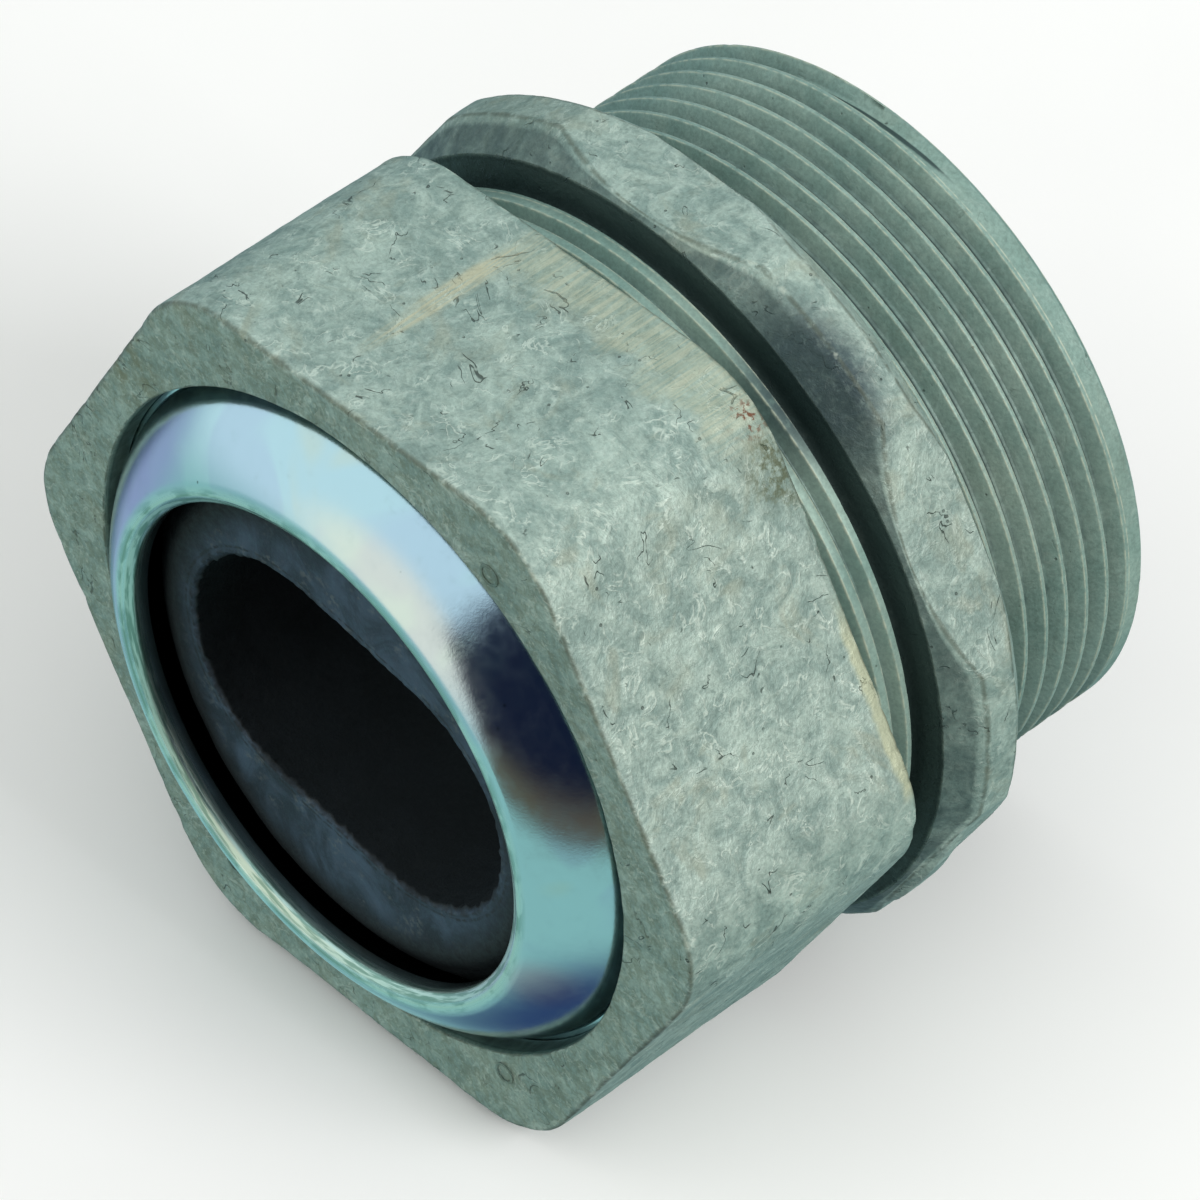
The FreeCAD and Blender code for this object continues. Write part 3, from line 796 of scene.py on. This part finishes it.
def zinc_casting(name, mottle, wear_and_shade):
    """Bare die-cast zinc: mottled skin, flow marks, pits, hair cracks, worn and grimy edges, and painted
    shade in hollows and recesses.
    """
    shader = Shader(name)
    skin, bare = shader.mark("cast"), shader.step(shader.mark("bare"), 0.50, 0.98)
    grime, edge = shader.mark("grime"), shader.mark("edge")

    broad = shader.noise(12.0, 3.0)
    middling = shader.noise(3.2, 5.0, 0.62, 0.9)
    cloud = shader.noise(1.2, 4.0, 0.65, 0.6, seed=1)
    fine = shader.noise(0.36, 3.0, 0.7, seed=2)
    smooth = shader.mix(shader.step(broad, 0.35, 0.65), colour(122, 152, 142), colour(148, 172, 160))
    cast = shader.mix(shader.step(middling, 0.34, 0.66), colour(130, 151, 143), colour(166, 184, 173))
    cast = shader.mix(shader.step(cloud, 0.52, 0.72, (0.0, 0.55)), cast, colour(184, 199, 188))
    cast = shader.mix(shader.step(cloud, 0.46, 0.30, (0.0, 0.5)), cast, colour(112, 132, 125))
    warm = shader.step(shader.noise(6.0, 4.0, 0.6, 1.0, seed=3), 0.52, 0.70, (0.0, 0.4))
    cast = shader.mix(warm, cast, colour(158, 160, 138))
    tone = shader.mix(skin, smooth, cast)
    tone = shader.shade(tone, shader.step(fine, 0.30, 0.70, (0.86, 1.12)))

    squiggle = shader.times(
        shader.line(shader.noise(2.6, 3.0, 0.55, 1.2, seed=4), 0.001, 0.040),
        shader.step(shader.noise(2.4, 3.0, seed=5), 0.46, 0.62),
        skin,
    )
    tone = shader.mix(shader.times(squiggle, mottle), tone, colour(206, 219, 206))
    crack = shader.times(
        shader.line(shader.noise(5.2, 3.0, 0.5, 1.4, seed=6), 0.002, 0.006),
        shader.step(shader.noise(2.8, 2.0, seed=7), 0.57, 0.62),
        skin,
    )
    tone = shader.mix(shader.times(crack, 0.85), tone, colour(58, 68, 60))
    pit = shader.times(
        shader.dots(1.5, 0.05, 0.10),
        shader.step(shader.noise(4.0, 2.0, seed=8), 0.52, 0.60),
    )
    tone = shader.mix(shader.times(pit, 0.65), tone, colour(66, 76, 68))
    # The body's patches added here are painted shade; the nut's are worn spots and stains.
    tone = wear_and_shade(shader, tone)

    worn = shader.step(shader.noise(0.8, 4.0, seed=9), 0.36, 0.60, (0.12, 1.0))
    tone = shader.mix(shader.times(bare, worn, 0.80), tone, colour(196, 202, 180))
    edge_noise = shader.noise(1.6, 3.0, 0.6, seed=10)
    dirty_edge = shader.times(edge, shader.step(edge_noise, 0.64, 0.48))
    tone = shader.mix(shader.times(dirty_edge, 0.62), tone, colour(80, 86, 70))
    bright_edge = shader.times(edge, shader.step(edge_noise, 0.58, 0.68))
    tone = shader.mix(shader.times(bright_edge, 0.5), tone, colour(196, 204, 188))
    # Painted shade in hollows and recesses, with dirt, darkens the tone here.
    blotches = shader.noise(1.8, 4.0, 0.6, seed=11)
    soiled_and_shaded = shader.step(shader.sum((grime, 1.0), (blotches, 0.5)), 0.38, 1.0)
    tone = shader.mix(shader.times(soiled_and_shaded, 0.94), tone, colour(48, 66, 64))

    relief = shader.sum(
        (middling, 1.0), (cloud, 0.6), (fine, 0.22), (squiggle, 0.12), (crack, -0.5), (pit, -0.5)
    )
    normal = shader.bump(shader.times(relief, shader.math("ADD", skin, 0.12)), 0.22)
    gloss = shader.step(cloud, 0.3, 0.7, (0.60, 0.45))
    return shader.set(base_color=tone, metallic=0.30, roughness=gloss, normal=normal)


def nut_wear(shader, tone):
    """The nut's filed patch, its scrape, its stains, and the rubbed strip on its back edge."""
    wander = shader.noise(3.0, 3.0, seed=20)
    ragged_y = shader.sum((shader.y, 1.0), (wander, 9.0))
    filed = shader.times(
        shader.step(ragged_y, *FILED_FRONT),
        shader.step(shader.x, *FILED_LEFT),
        shader.step(shader.x, *FILED_RIGHT),
        shader.step(shader.z, *FILED_UP),
    )
    brushed = shader.noise(0.30, 2.0, 0.6, seed=21, place=shader.scaled(shader.place, (1.0, 0.05, 1.0)))
    filed_tone = shader.mix(shader.step(brushed, 0.35, 0.65), colour(152, 165, 144), colour(184, 188, 164))
    tone = shader.mix(shader.times(filed, shader.step(brushed, 0.25, 0.6, (0.2, 0.72))), tone, filed_tone)
    scrape = shader.times(
        shader.near(SCRAPE, 0.5, 0.9, (1.0, 0.12, 1.0)),
        shader.step(brushed, 0.4, 0.6, (0.3, 0.9)),
    )
    tone = shader.mix(scrape, tone, colour(188, 186, 158))

    blot = shader.noise(0.9, 4.0, 0.7, seed=22)
    olive = shader.times(
        shader.near(OLIVE_STAIN, 1.6, 3.0), shader.step(blot, 0.42, 0.60, (0.15, 0.9))
    )
    tone = shader.mix(olive, tone, colour(92, 100, 74))
    rust = shader.times(shader.near(RUST_SPOT, 0.9, 1.8), shader.step(blot, 0.50, 0.60))
    tone = shader.mix(rust, tone, colour(112, 66, 40))
    rubbed_edge = shader.times(
        shader.step(shader.sum((shader.y, 1.0), (wander, 1.6)), *RUBBED_BACK),
        shader.step(shader.x, *RUBBED_OUT),
        shader.step(shader.z, *RUBBED_UP),
    )
    tone = shader.mix(shader.times(rubbed_edge, 0.85), tone, colour(186, 190, 160))
    face_stain = shader.times(
        shader.near(FACE_STAIN, 1.5, 3.5),
        shader.step(shader.noise(1.6, 4.0, seed=23), 0.38, 0.62),
    )
    tone = shader.mix(shader.times(face_stain, 0.6), tone, colour(120, 116, 78))
    front = shader.step(shader.y, -36.3, -36.7)
    mottle = shader.step(shader.noise(1.0, 5.0, 0.72, 0.6, seed=24), 0.42, 0.60)
    tone = shader.mix(shader.times(front, mottle, 0.42), tone, colour(112, 118, 92))
    dust = shader.step(shader.noise(0.45, 3.0, 0.7, seed=25), 0.56, 0.70)
    return shader.mix(shader.times(front, dust, 0.6), tone, colour(186, 198, 184))


def body_shade_marks(shader, tone):
    """Painted shade in blotches on the flange's corner at about 60 degrees, and a darker blotchy patch on
    its upper left corner.
    """
    blot = shader.noise(0.8, 4.0, 0.7, seed=30)
    # Painted shade: a dark blotchy patch on the flange's corner at about 60 degrees, on its side towards
    # the nut.
    corner_shade = shader.times(
        shader.near(FLANGE_CORNER_SHADE, 2.4, 3.8, (0.62, 1.0, 0.62)),
        shader.step(blot, 0.25, 0.55, (0.55, 1.0)),
    )
    tone = shader.mix(shader.times(corner_shade, 0.92), tone, colour(48, 64, 70))
    corner = shader.times(
        shader.near(FLANGE_BROWN_CORNER, 3.0, 7.0),
        shader.step(blot, 0.35, 0.65, (0.4, 0.9)),
    )
    return shader.mix(shader.times(corner, 0.5), tone, colour(104, 118, 102))


def plated_steel():
    """Clear zinc on pressed steel: satin bright, faintly tinted, with a raw cut edge at its hole."""
    shader = Shader("clear_zinc_plated_steel")
    tint = shader.noise(11.0, 2.0, 0.5, 0.6)
    tone = shader.mix(shader.step(tint, 0.40, 0.50), colour(210, 222, 231), colour(214, 231, 233))
    tone = shader.mix(shader.step(tint, 0.56, 0.64), tone, colour(224, 230, 220))
    blush = shader.near(RING_BLUSH, 1.0, 3.5)
    tone = shader.mix(shader.times(blush, 0.8), tone, colour(240, 208, 208))
    cloud = shader.noise(1.4, 5.0, 0.7, seed=1)
    grain = shader.noise(0.22, 2.0, 0.6, seed=2)
    tone = shader.mix(shader.step(cloud, 0.58, 0.82, (0.0, 0.25)), tone, colour(168, 184, 184))
    speck = shader.times(
        shader.dots(1.7, 0.05, 0.09), shader.step(shader.noise(5.0, 2.0, seed=3), 0.56, 0.62)
    )
    tone = shader.mix(shader.times(speck, 0.7), tone, colour(96, 112, 108))
    streaks = shader.noise(0.20, 3.0, 0.6, seed=4, place=shader.scaled(shader.place, (0.05, 1.0, 0.05)))
    cut = shader.mark("edge")
    cut_tone = shader.mix(shader.step(streaks, 0.42, 0.58), colour(150, 178, 158), colour(228, 240, 224))
    tone = shader.mix(shader.times(cut, 0.9), tone, cut_tone)
    # Painted shade darkens the dome's hidden inner side.
    tone = shader.mix(shader.times(shader.mark("grime"), 0.7), tone, colour(70, 80, 84))
    gloss = shader.math("MAXIMUM", shader.step(cloud, 0.3, 0.8, (0.15, 0.24)), shader.times(cut, 0.42))
    relief = shader.sum((cloud, 0.5), (grain, 0.5))
    return shader.set(base_color=tone, metallic=1.0, roughness=gloss, normal=shader.bump(relief, 0.008))


def black_rubber():
    """Matt black rubber with a dusty bloom, and painted shade: near black inside its hole, on the shoulder
    by the ring and round the outer part of its face.
    """
    shader = Shader("dusty_black_rubber")
    cloud = shader.noise(5.0, 5.0, 0.62, 0.8)
    dust = shader.noise(0.7, 4.0, 0.7, seed=1)
    tone = shader.mix(shader.step(cloud, 0.36, 0.66), colour(28, 42, 54), colour(60, 80, 98))
    tone = shader.mix(shader.step(dust, 0.50, 0.78, (0.0, 0.35)), tone, colour(86, 102, 112))
    ash = shader.times(
        shader.step(shader.noise(2.4, 3.0, seed=2), 0.52, 0.66),
        shader.step(shader.noise(0.5, 3.0, seed=3), 0.46, 0.62),
    )
    tone = shader.mix(shader.times(ash, 0.4), tone, colour(104, 112, 110))
    # Painted shade: the face is near black outside the middle, where the ring's lip shades it.
    unshaded_middle = shader.near((0.0, 0.0, 0.0), UNSHADED_RADIUS, SHADE_FADE_WIDTH, (1.0, 0.0, 1.0))
    tone = shader.mix(unshaded_middle, colour(12, 16, 20), tone)
    torn = shader.times(shader.mark("edge"), shader.step(shader.noise(0.6, 3.0, seed=4), 0.35, 0.6))
    tone = shader.mix(shader.times(torn, 0.8), tone, colour(20, 23, 25))
    # Painted shade, near black, inside the hole, on its torn mouth and on the shoulder by the ring.
    tone = shader.mix(shader.times(shader.mark("grime"), 0.96), tone, colour(7, 9, 10))
    relief = shader.sum((cloud, 0.7), (dust, 0.5))
    gloss = shader.step(dust, 0.3, 0.8, (0.60, 0.85))
    return shader.set(base_color=tone, roughness=gloss, normal=shader.bump(relief, 0.14))


def paint(made, material):
    made.data.materials.clear()
    made.data.materials.append(material)


body_piece = make_body()
nut_piece = make_nut()
ring_piece = make_ring()
rubber_piece = make_grommet()
paint(body_piece, zinc_casting("zinc_casting_body", 0.40, body_shade_marks))
paint(nut_piece, zinc_casting("zinc_casting_nut", 0.60, nut_wear))
paint(ring_piece, plated_steel())
paint(rubber_piece, black_rubber())

for piece, body, node, slot in (
    (body_piece, "casting", "connector_body", "die_cast_zinc"),
    (nut_piece, "nut", "gland_nut", "die_cast_zinc"),
    (ring_piece, "pusher", "slip_ring", "plated_steel"),
):
    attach(piece, body)
    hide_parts(node)
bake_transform(rubber_piece)
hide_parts("cable_grommet")


# ---------------------------------------------------------------- stage, light and camera

FLOOR_HALF_METRES = 3.0
FLOOR_DARK = (0.93, 0.93, 0.93, 1.0)
FLOOR_PALE = (0.95, 0.95, 0.95, 1.0)
FLOOR_BOUNCE = (0.24, 0.26, 0.25, 1.0)

# Directions and linear colours of the room that the pieces reflect, and of the fill light on them.
NADIR_BLUE = (0.03, 0.06, 0.16)
LOW_CYAN = (0.30, 0.56, 0.56)
HIGH_CYAN = (0.66, 0.87, 0.95)
LILAC_SIDE = (-0.9, -0.02, -0.42)
LILAC = (0.33, 0.41, 0.62)
NAVY_SIDE = (-0.85, 0.4, -0.4)
NAVY = (0.02, 0.05, 0.10)
CREAM_SIDE = (-0.18, -0.96, 0.16)
CREAM = (0.98, 0.97, 0.84)
WINDOW_LEFT = (0.968, 0.25, 0.0)
WINDOW_TOP = (0.868, -0.031, -0.496)
WINDOW_NIGHT = (0.007, 0.012, 0.032)
WINDOW_DUSK = (0.12, 0.10, 0.07)
FILL_SIDE = (0.55, -0.75, 0.35)
FILL_FAR = (0.42, 0.44, 0.44)
FILL_NEAR = (1.04, 1.04, 1.0)
WHITE = (1.0, 1.0, 1.0)

KEY_PLACE_METRES = (1.05, 0.20, 0.68)
KEY_SIZE_METRES = 0.6
KEY_WATTS = 8.4

CAMERA_AZIMUTH = 47.317
CAMERA_ELEVATION = 44.746
CAMERA_ROLL = -1.059
CAMERA_TARGET = (3.82, -15.0, 1.04)
CAMERA_DISTANCE = 700.8
CAMERA_LENS = 273.9
CAMERA_SENSOR = 36.0


def make_floor():
    """A plain pale floor. Seen by diffuse light it is darker, so little light bounces up."""
    mesh = bpy.data.meshes.new("floor")
    level = body_low.z * METRES
    signs = ((-1, -1), (1, -1), (1, 1), (-1, 1))
    corners = [(x * FLOOR_HALF_METRES, y * FLOOR_HALF_METRES, level) for x, y in signs]
    mesh.from_pydata(corners, [], [(0, 1, 2, 3)])
    floor = bpy.data.objects.new("floor", mesh)
    bpy.context.scene.collection.objects.link(floor)
    shader = Shader("pale_floor")
    grain = shader.noise(40.0, 2.0)
    tone = shader.mix(shader.step(grain, 0.3, 0.7), FLOOR_DARK, FLOOR_PALE)
    path = shader.nodes.new("ShaderNodeLightPath")
    tone = shader.mix(path.outputs["Is Diffuse Ray"], tone, FLOOR_BOUNCE)
    paint(floor, shader.set(base_color=tone, roughness=0.9))
    floor.visible_glossy = False


def make_world():
    """White for the camera, a soft fill for diffuse light, and a studio with a dark window."""
    world = bpy.data.worlds.new("studio")
    bpy.context.scene.world = world
    world.use_nodes = True
    nodes, links = world.node_tree.nodes, world.node_tree.links
    nodes.clear()

    def dot(direction):
        node = nodes.new("ShaderNodeVectorMath")
        node.operation = "DOT_PRODUCT"
        links.new(towards, node.inputs[0])
        node.inputs[1].default_value = Vector(direction).normalized()
        return node.outputs["Value"]

    def step(value, low, high):
        node = nodes.new("ShaderNodeMapRange")
        node.interpolation_type = "SMOOTHSTEP"
        links.new(value, node.inputs["Value"])
        node.inputs["From Min"].default_value = low
        node.inputs["From Max"].default_value = high
        return node.outputs[0]

    def mix(share, first, second):
        node = nodes.new("ShaderNodeMix")
        node.data_type = "RGBA"
        links.new(share, node.inputs[0])
        for value, socket in ((first, node.inputs[6]), (second, node.inputs[7])):
            if isinstance(value, bpy.types.NodeSocket):
                links.new(value, socket)
            else:
                socket.default_value = (*value, 1.0)
        return node.outputs[2]

    def product(*values):
        first = values[0]
        for second in values[1:]:
            node = nodes.new("ShaderNodeMath")
            node.operation = "MULTIPLY"
            links.new(first, node.inputs[0])
            links.new(second, node.inputs[1])
            first = node.outputs[0]
        return first

    towards = nodes.new("ShaderNodeTexCoord").outputs["Generated"]
    up = dot((0, 0, 1))
    light = mix(step(up, -1.0, -0.82), NADIR_BLUE, LOW_CYAN)
    light = mix(step(up, -0.38, 0.12), light, HIGH_CYAN)
    light = mix(step(dot(LILAC_SIDE), 0.90, 0.99), light, LILAC)
    light = mix(step(dot(NAVY_SIDE), 0.88, 0.98), light, NAVY)
    light = mix(step(dot(CREAM_SIDE), 0.86, 0.985), light, CREAM)
    window = product(
        step(dot(WINDOW_LEFT), -0.17, -0.09),
        step(dot(WINDOW_TOP), -0.05, 0.03),
        step(up, -0.46, -0.30),
    )
    light = mix(window, light, WINDOW_NIGHT)
    dusk = product(window, step(dot((0, 0, -1)), 0.02, 0.32))
    light = mix(dusk, light, WINDOW_DUSK)
    path = nodes.new("ShaderNodeLightPath")
    fill = mix(step(dot(FILL_SIDE), -0.8, 0.8), FILL_FAR, FILL_NEAR)
    light = mix(path.outputs["Is Diffuse Ray"], light, fill)
    light = mix(path.outputs["Is Camera Ray"], light, WHITE)
    background = nodes.new("ShaderNodeBackground")
    links.new(light, background.inputs["Color"])
    output = nodes.new("ShaderNodeOutputWorld")
    links.new(background.outputs[0], output.inputs["Surface"])


def area_light(name, place, size, watts):
    """A square light that faces the origin."""
    data = bpy.data.lights.new(name, "AREA")
    data.size = size
    data.energy = watts
    lamp = bpy.data.objects.new(name, data)
    lamp.location = place
    lamp.rotation_mode = "QUATERNION"
    lamp.rotation_quaternion = (-Vector(place)).to_track_quat("-Z", "Y")
    bpy.context.scene.collection.objects.link(lamp)


def make_camera():
    """The main view. Azimuth turns from -Y towards +X, and roll is about the line of sight."""
    azimuth, elevation, roll = map(math.radians, (CAMERA_AZIMUTH, CAMERA_ELEVATION, CAMERA_ROLL))
    back = Vector((
        math.sin(azimuth) * math.cos(elevation),
        -math.cos(azimuth) * math.cos(elevation),
        math.sin(elevation),
    ))
    data = bpy.data.cameras.new("camera")
    data.lens = CAMERA_LENS
    data.sensor_width = CAMERA_SENSOR
    data.clip_start, data.clip_end = 0.01, 20.0
    camera = bpy.data.objects.new("camera", data)
    camera.location = Vector(CAMERA_TARGET) * METRES + back * CAMERA_DISTANCE * METRES
    camera.rotation_mode = "QUATERNION"
    level = (-back).to_track_quat("-Z", "Y")
    camera.rotation_quaternion = level @ Quaternion((0, 0, 1), roll)
    bpy.context.scene.collection.objects.link(camera)
    bpy.context.scene.camera = camera


make_floor()
make_world()
area_light("key_softbox", KEY_PLACE_METRES, KEY_SIZE_METRES, KEY_WATTS)
make_camera()
bpy.context.scene.view_settings.view_transform = "Standard"
